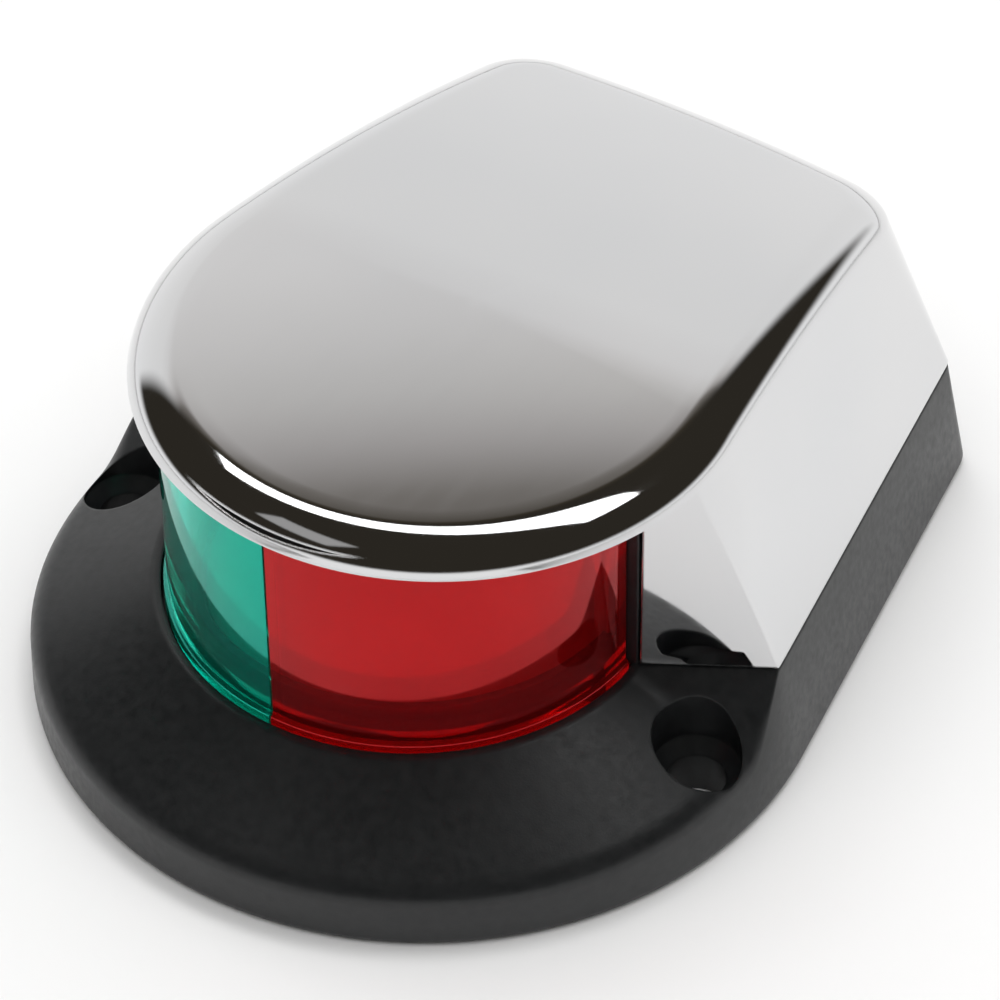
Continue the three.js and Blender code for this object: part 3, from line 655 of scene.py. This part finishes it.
def make_base():
    """The black base, with its lens groove, seal grooves, lens posts and holes."""
    base = base_outer()
    boolean(base, hollow())
    inner = LENS_RADIUS - LENS_WALL - GAP
    outer = LENS_FOOT_RADIUS + GAP
    collar = ring_sector("collar", COLLAR["inner"], inner, SEAT_Z - OVERLAP, COLLAR["top"], -180, 0)
    boolean(base, collar, "UNION")
    ends = (-180 - LENS_GROOVE_PAST, LENS_GROOVE_PAST)
    boolean(base, ring_sector("lens_groove", inner, outer, GROOVE_BOTTOM, ABOVE_BASE, *ends))
    seam = shrunk(BASE, SEAM_INSET)
    seal = channel("seal_groove", seam, SEAL_GROOVE, BASE_TOP - SEAL_GROOVE["depth"], BASE_TOP + OVERLAP)
    seal_front = COVER_SCREWS[0][1] - SEAL_AHEAD
    boolean(seal, block("aft", -FAR_SIDE, FAR_SIDE, seal_front, FAR_AFT, 0, HIGH), "INTERSECT")
    gasket = channel("gasket_groove", BASE, GASKET_GROOVE, -OVERLAP, GASKET_GROOVE["depth"])
    boolean(base, joined("grooves", [seal, gasket]))
    boolean(base, lens_posts(), "UNION")
    return boolean(base, base_holes())


# ---------- lens ----------


def lens_profile():
    """Section of the lens wall: its foot, its outer face up to the top, and its inner face down."""
    inner = LENS_RADIUS - LENS_WALL
    foot = LENS_FOOT_RADIUS
    profile = [(inner, LENS_BOTTOM), (foot - 0.1, LENS_BOTTOM), (foot, LENS_BOTTOM + 0.1)]
    profile += [(foot, LENS_FOOT_TOP - 0.3), (foot - 0.08, LENS_FOOT_TOP - 0.12)]
    profile += [(foot - 0.25, LENS_FOOT_TOP), (LENS_RADIUS, LENS_FOOT_TOP + 0.2)]
    profile += [(LENS_RADIUS, z) for z in np.linspace(LENS_FOOT_TOP + 2, LENS_TOP - 0.15, 8)]
    profile += [(LENS_RADIUS - 0.15, LENS_TOP), (inner + 0.1, LENS_TOP), (inner, LENS_TOP - 0.1)]
    profile += [(inner, z) for z in np.linspace(LENS_TOP - 3, LENS_BOTTOM + 2, 8)]
    return profile


def make_lens(name, side):
    """One coloured half, ending flat at the split and at the post."""
    profile = lens_profile()
    rows = []
    for r, _ in profile:
        split = math.asin(LENS_SPLIT / r)
        turn = np.linspace(split - math.pi / 2, 0, 91)
        rows.append(turn if side > 0 else math.pi - turn)
    return swept(name, profile, rows)


# ---------- materials ----------

NOISE_RANGE = (0.3, 0.7)  # the part of a noise's values that a tint or a roughness runs over


class Finish:
    """A material with one Principled node and procedural detail in object space."""

    def __init__(self, name, colour, roughness, **sockets):
        self.material = bpy.data.materials.new(name)
        self.material.use_nodes = True
        self.tree = self.material.node_tree
        self.shader = self.tree.nodes["Principled BSDF"]
        self.output = self.tree.nodes["Material Output"]
        self.shader.inputs["Base Color"].default_value = (*colour, 1)
        self.shader.inputs["Roughness"].default_value = roughness
        for key, value in sockets.items():
            self.shader.inputs[key.replace("_", " ")].default_value = value
        self.place = self.node("ShaderNodeTexCoord").outputs["Object"]
        self.normal = None

    def node(self, kind, **values):
        made = self.tree.nodes.new(kind)
        for key, value in values.items():
            setattr(made, key, value)
        return made

    def link(self, source, target):
        self.tree.links.new(source, target)

    def noise(self, size, detail, stretch=(1, 1, 1)):
        """Noise with features about that many millimetres across."""
        mapping = self.node("ShaderNodeMapping")
        mapping.inputs["Scale"].default_value = stretch
        self.link(self.place, mapping.inputs["Vector"])
        noise = self.node("ShaderNodeTexNoise")
        noise.inputs["Scale"].default_value = 1 / (size * MM)
        noise.inputs["Detail"].default_value = detail
        self.link(mapping.outputs["Vector"], noise.inputs["Vector"])
        return noise.outputs["Fac"]

    def tint(self, source, low, high):
        """Base colour running from low to high as source rises."""
        ramp = self.node("ShaderNodeValToRGB")
        for element, position, colour in zip(ramp.color_ramp.elements, NOISE_RANGE, (low, high)):
            element.position = position
            element.color = (*colour, 1)
        self.link(source, ramp.inputs["Fac"])
        self.link(ramp.outputs["Color"], self.shader.inputs["Base Color"])

    def rough(self, source, low, high):
        """Roughness running from low to high as source rises."""
        remap = self.node("ShaderNodeMapRange")
        for socket, value in zip(("From Min", "From Max", "To Min", "To Max"), (*NOISE_RANGE, low, high)):
            remap.inputs[socket].default_value = value
        self.link(source, remap.inputs["Value"])
        self.link(remap.outputs["Result"], self.shader.inputs["Roughness"])

    def soft_edges(self, radius):
        """Edges shade as if rounded to that radius in millimetres."""
        bevel = self.node("ShaderNodeBevel", samples=4)
        bevel.inputs["Radius"].default_value = radius * MM
        self.normal = bevel.outputs["Normal"]

    def bump(self, source, depth, strength):
        """Relief of that depth in millimetres."""
        bump = self.node("ShaderNodeBump")
        bump.inputs["Strength"].default_value = strength
        bump.inputs["Distance"].default_value = depth * MM
        self.link(source, bump.inputs["Height"])
        if self.normal is not None:
            self.link(self.normal, bump.inputs["Normal"])
        self.normal = bump.outputs["Normal"]
        self.link(self.normal, self.shader.inputs["Normal"])

    def lamp_light_through(self, colour):
        """Light from lamps passes through, tinted."""
        path = self.node("ShaderNodeLightPath")
        clear = self.node("ShaderNodeBsdfTransparent")
        clear.inputs["Color"].default_value = (*colour, 1)
        mix = self.node("ShaderNodeMixShader")
        self.link(path.outputs["Is Shadow Ray"], mix.inputs[0])
        self.link(self.shader.outputs["BSDF"], mix.inputs[1])
        self.link(clear.outputs["BSDF"], mix.inputs[2])
        self.link(mix.outputs["Shader"], self.output.inputs["Surface"])


def black_plastic():
    made = Finish("black_plastic", (0.009, 0.0096, 0.0104), 0.38)
    made.soft_edges(0.35)
    made.tint(made.noise(1.2, 4), (0.007, 0.0078, 0.0084), (0.012, 0.0127, 0.0134))
    made.rough(made.noise(0.9, 3), 0.32, 0.42)
    made.bump(made.noise(0.22, 2), 0.016, 0.5)
    return made


def chrome():
    made = Finish("chrome_plate", (0.72, 0.72, 0.73), 0.03, Metallic=1.0)
    made.soft_edges(0.3)
    made.tint(made.noise(30, 2), (0.70, 0.705, 0.715), (0.73, 0.73, 0.735))
    made.rough(made.noise(2.5, 5, (1, 0.2, 1)), 0.02, 0.06)
    made.bump(made.noise(9, 1), 0.0015, 0.5)
    return made


def lens(name, colour, deep, lamp):
    made = Finish(name, colour, 0.03, Metallic=0.27, Transmission_Weight=0.95, IOR=1.25)
    made.tint(made.noise(14, 3), deep, colour)
    made.rough(made.noise(3, 4), 0.02, 0.06)
    made.bump(made.noise(6, 2), 0.004, 0.5)
    made.lamp_light_through(lamp)
    return made


def rubber():
    made = Finish("black_rubber", (0.012, 0.012, 0.012), 0.8)
    made.tint(made.noise(3, 3), (0.009, 0.009, 0.009), (0.018, 0.018, 0.018))
    made.rough(made.noise(1.5, 3), 0.7, 0.9)
    made.bump(made.noise(0.15, 2), 0.02, 0.5)
    return made


def metal(name, low, high, rough_low, rough_high, grain=(1, 1, 12)):
    made = Finish(name, high, rough_high, Metallic=1.0)
    made.tint(made.noise(2, 4, grain), low, high)
    made.rough(made.noise(0.8, 4, grain), rough_low, rough_high)
    made.bump(made.noise(0.1, 2, grain), 0.004, 0.5)
    return made


def plastic(name, low, high, rough_low, rough_high):
    made = Finish(name, high, rough_high)
    made.tint(made.noise(6, 3), low, high)
    made.rough(made.noise(3, 3), rough_low, rough_high)
    made.bump(made.noise(0.5, 2), 0.01, 0.4)
    return made


def clear_glass():
    made = Finish("clear_glass", (0.93, 0.95, 0.95), 0.01, Transmission_Weight=1.0, IOR=1.5)
    made.tint(made.noise(4, 2), (0.9, 0.93, 0.93), (0.95, 0.97, 0.97))
    made.rough(made.noise(2, 3), 0.005, 0.03)
    made.bump(made.noise(3, 1), 0.006, 0.4)
    made.lamp_light_through((0.93, 0.95, 0.95))
    return made


FINISHES = {
    "black_plastic": black_plastic(),
    "chrome_plate": chrome(),
    "red_lens": lens("red_lens", (0.95, 0.025, 0.03), (0.88, 0.018, 0.024), (0.95, 0.04, 0.05)),
    "green_lens": lens("green_lens", (0.008, 0.84, 0.66), (0.005, 0.76, 0.59), (0.02, 0.9, 0.74)),
    "black_rubber": rubber(),
    "stainless_steel": metal("stainless_steel", (0.5, 0.5, 0.5), (0.62, 0.61, 0.6), 0.22, 0.38),
    "white_plastic": plastic("white_plastic", (0.8, 0.8, 0.78), (0.86, 0.86, 0.85), 0.25, 0.4),
    "plated_steel": metal("plated_steel", (0.42, 0.43, 0.44), (0.56, 0.56, 0.55), 0.3, 0.45, (1, 12, 1)),
    "natural_nylon": plastic("natural_nylon", (0.6, 0.57, 0.47), (0.7, 0.67, 0.57), 0.4, 0.55),
    "brass": metal("brass", (0.5, 0.34, 0.1), (0.66, 0.47, 0.15), 0.25, 0.4, (1, 10, 1)),
    "clear_glass": clear_glass(),
    "nickel_wire": metal("nickel_wire", (0.38, 0.37, 0.35), (0.5, 0.49, 0.46), 0.25, 0.4, (1, 8, 1)),
    "tungsten": metal("tungsten", (0.09, 0.09, 0.1), (0.16, 0.16, 0.17), 0.4, 0.55),
}
SLOT_OF = {part["node"]: part["material_slot"] for part in frame["record"]["subparts"]}
BODY_OF = {node: obj["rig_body"] for node, obj in NODES.items()}

# ---------- pieces ----------


MERGE = 1e-7  # vertices this near are one, in metres
CAD_MERGE = 2e-6
SHARP_EDGE = math.radians(32)
BEVELLED_EDGE = math.radians(40)
FLAT_EDGE = math.radians(1)


def as_piece(obj, name, node):
    """Gives a finished mesh its name and shading, and the material and body of the CAD node it stands for,
    and hides that node.
    """
    obj.name = name
    obj.data.name = name
    bm = bmesh.new()
    bm.from_mesh(obj.data)
    bmesh.ops.remove_doubles(bm, verts=bm.verts, dist=MERGE)
    bmesh.ops.dissolve_degenerate(bm, edges=bm.edges, dist=MERGE)
    bmesh.ops.recalc_face_normals(bm, faces=bm.faces)
    for face in bm.faces:
        face.smooth = True
        face.material_index = 0
    for edge in bm.edges:
        edge.smooth = edge.is_manifold and edge.calc_face_angle(math.pi) < SHARP_EDGE
    bm.to_mesh(obj.data)
    bm.free()
    slot = SLOT_OF[node]
    obj.data.materials.clear()
    obj.data.materials.append(FINISHES[slot].material)
    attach(obj, BODY_OF[node])
    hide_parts(node)
    return obj


def eased(node, name, edge):
    """A CAD node's own shape with its edges slightly rounded and its curves shaded smooth."""
    mesh = NODES[node].data.copy()
    obj = bpy.data.objects.new(name, mesh)
    bpy.context.scene.collection.objects.link(obj)
    bm = bmesh.new()
    bm.from_mesh(mesh)
    bmesh.ops.remove_doubles(bm, verts=bm.verts, dist=CAD_MERGE)
    bmesh.ops.dissolve_limit(bm, angle_limit=FLAT_EDGE, verts=bm.verts, edges=bm.edges)
    if edge:
        corners = [e for e in bm.edges if e.is_manifold and e.calc_face_angle(0) > BEVELLED_EDGE]
        bmesh.ops.bevel(
            bm, geom=corners, offset=edge * MM, offset_type="OFFSET", segments=2,
            profile=0.5, affect="EDGES", clamp_overlap=True,
        )
    bm.to_mesh(mesh)
    bm.free()
    return as_piece(obj, name, node)


as_piece(make_cover(), "cover_shell", "top_cover")
as_piece(make_base(), "base_body", "base")
as_piece(make_lens("port_lens", 1), "port_lens", "lens_red")
as_piece(make_lens("starboard_lens", -1), "starboard_lens", "lens_green")

SCREW_EDGE = 0.08
EASED = {
    "lens_seal_lower": 0.1,
    "lens_seal_upper": 0.1,
    "housing_seal": 0.1,
    "deck_gasket": 0.1,
    "wire_grommet": 0.15,
    "reflector": 0.15,
    "lamp_bracket": 0.1,
    "lamp_holder": 0.15,
    "contact_upper": 0.05,
    "contact_lower": 0.05,
    "bulb_glass": 0.1,
    "bulb_lead_port": 0.0,
    "bulb_lead_starboard": 0.0,
    "bulb_filament": 0.0,
}
for node, edge in EASED.items():
    eased(node, f"fine_{node}", edge)
for node in NODES:
    if node.startswith(("cover_screw", "bracket_screw")):
        eased(node, f"fine_{node}", SCREW_EDGE)

# ---------- studio ----------

# Angles are degrees and lengths millimetres; the target is in the row frame.
CAMERA = {
    "azimuth": 34.09,
    "elevation": 43.62,
    "distance": 533.9,
    "target": (5.65, -3.78, 20.09),
    "roll": -0.86,
    "lens": 192.1,
}


def direction(azimuth, elevation):
    """Unit vector towards an azimuth from the bow (port positive) and an elevation, in degrees."""
    a, e = math.radians(azimuth), math.radians(elevation)
    return Vector((math.sin(a) * math.cos(e), -math.cos(a) * math.cos(e), math.sin(e)))


def add_camera():
    """A long lens on a full-frame sensor, turned a little about its axis."""
    back = direction(CAMERA["azimuth"], CAMERA["elevation"])
    right = Vector((0, 0, 1)).cross(back).normalized()
    up = back.cross(right)
    turn = math.radians(CAMERA["roll"])
    right, up = (
        right * math.cos(turn) + up * math.sin(turn),
        up * math.cos(turn) - right * math.sin(turn),
    )
    data = bpy.data.cameras.new("camera")
    data.lens = CAMERA["lens"]
    data.sensor_width = 36
    data.clip_start = 0.02
    camera = bpy.data.objects.new("camera", data)
    where = (Vector(CAMERA["target"]) + back * CAMERA["distance"]) * MM
    rotation = Matrix((right, up, back)).transposed()
    camera.matrix_world = Matrix.Translation(where) @ rotation.to_4x4()
    bpy.context.scene.collection.objects.link(camera)
    bpy.context.scene.camera = camera


FLOOR_DROP = 0.0002  # keeps the floor just clear of the gasket


def add_floor():
    """A pale floor, 6 m across."""
    size, steps = 3.0, 24
    bm = bmesh.new()
    bmesh.ops.create_grid(bm, x_segments=steps, y_segments=steps, size=size)
    mesh = bpy.data.meshes.new("floor")
    bm.to_mesh(mesh)
    bm.free()
    floor = bpy.data.objects.new("floor", mesh)
    floor.location.z = -FLOOR_DROP
    finish = Finish("pale_floor", (0.86, 0.86, 0.86), 0.7)
    finish.tint(finish.noise(60, 3), (0.85, 0.85, 0.85), (0.87, 0.87, 0.87))
    mesh.materials.append(finish.material)
    bpy.context.scene.collection.objects.link(floor)


def area_lamp(name, size, power):
    """A rectangular lamp, its size in metres and its power in watts."""
    data = bpy.data.lights.new(name, "AREA")
    data.shape = "RECTANGLE"
    data.size, data.size_y = size
    data.energy = power
    lamp = bpy.data.objects.new(name, data)
    bpy.context.scene.collection.objects.link(lamp)
    return lamp


def add_light(name, azimuth, elevation, distance, size, power, glossy=True):
    """A lamp that faces the light from a direction in degrees and a distance in metres."""
    lamp = area_lamp(name, size, power)
    aim = direction(azimuth, elevation)
    rotation = aim.to_track_quat("Z", "Y").to_matrix().to_4x4()
    aimed_at = Vector((0, 0, 0.02))
    lamp.matrix_world = Matrix.Translation(aim * distance + aimed_at) @ rotation
    lamp.visible_glossy = glossy


def add_ceiling_box(name, offset, height, size, power):
    """A level lamp above the floor; offset is its centre's distance to the side per unit height."""
    lamp = area_lamp(name, size, power)
    lamp.location = (offset[0] * height, offset[1] * height, height)


# Colour of the surroundings by the height of the direction that they are seen in.
SKY = (
    (0.00, (1.0, 1.0, 1.0)),
    (0.60, (0.87, 0.865, 0.86)),
    (0.65, (0.81, 0.80, 0.795)),
    (0.67, (0.72, 0.705, 0.695)),
    (0.685, (0.60, 0.585, 0.57)),
    (0.697, (0.43, 0.41, 0.40)),
    (0.708, (0.20, 0.185, 0.17)),
    (0.74, (0.05, 0.042, 0.03)),
    (1.00, (0.04, 0.033, 0.022)),
)
# Everything except the wall straight behind the light is dark, above a bright horizon.
DARK_SIDES = {"colour": (0.03, 0.026, 0.02), "from": -0.68, "to": -0.59, "above": (0.08, 0.25)}


def add_world():
    """A plain studio: one pale wall behind the light, dark ceiling and sides, and a bright horizon."""
    world = bpy.data.worlds.new("studio")
    world.use_nodes = True
    tree = world.node_tree
    place = tree.nodes.new("ShaderNodeTexCoord")
    split = tree.nodes.new("ShaderNodeSeparateXYZ")
    ramp = tree.nodes.new("ShaderNodeValToRGB")
    tree.links.new(place.outputs["Generated"], split.inputs["Vector"])
    tree.links.new(split.outputs["Z"], ramp.inputs["Fac"])
    elements = ramp.color_ramp.elements
    for position, colour in SKY[1:-1]:
        elements.new(position).color = (*colour, 1)
    elements[0].color = (*SKY[0][1], 1)
    elements[-1].color = (*SKY[-1][1], 1)
    toward = tree.nodes.new("ShaderNodeVectorMath")
    toward.operation = "DOT_PRODUCT"
    toward.inputs[1].default_value = direction(CAMERA["azimuth"], 0)
    tree.links.new(place.outputs["Generated"], toward.inputs[0])

    def share(source, low, high):
        """Rises smoothly from 0 at low to 1 at high."""
        remap = tree.nodes.new("ShaderNodeMapRange")
        remap.interpolation_type = "SMOOTHSTEP"
        remap.inputs["From Min"].default_value = low
        remap.inputs["From Max"].default_value = high
        tree.links.new(source, remap.inputs["Value"])
        return remap.outputs["Result"]

    dark = tree.nodes.new("ShaderNodeMath")
    dark.operation = "MULTIPLY"
    side = share(toward.outputs["Value"], DARK_SIDES["from"], DARK_SIDES["to"])
    tree.links.new(side, dark.inputs[0])
    tree.links.new(share(split.outputs["Z"], *DARK_SIDES["above"]), dark.inputs[1])
    mix = tree.nodes.new("ShaderNodeMix")
    mix.data_type = "RGBA"
    tree.links.new(dark.outputs["Value"], mix.inputs["Factor"])
    tree.links.new(ramp.outputs["Color"], mix.inputs["A"])
    mix.inputs["B"].default_value = (*DARK_SIDES["colour"], 1)
    background = tree.nodes["Background"]
    tree.links.new(mix.outputs["Result"], background.inputs["Color"])
    background.inputs["Strength"].default_value = 1.0
    bpy.context.scene.world = world


add_camera()
add_floor()
add_world()
add_light("overhead", 0, 88, 1.2, (2.4, 2.4), 26, glossy=False)
add_ceiling_box("softbox", (-0.1, 0.3), 0.9, (1.0, 0.24), 3)
add_light("left_panel", -30, 56, 0.9, (0.35, 0.2), 0.08)
bpy.context.scene.view_settings.view_transform = "Standard"
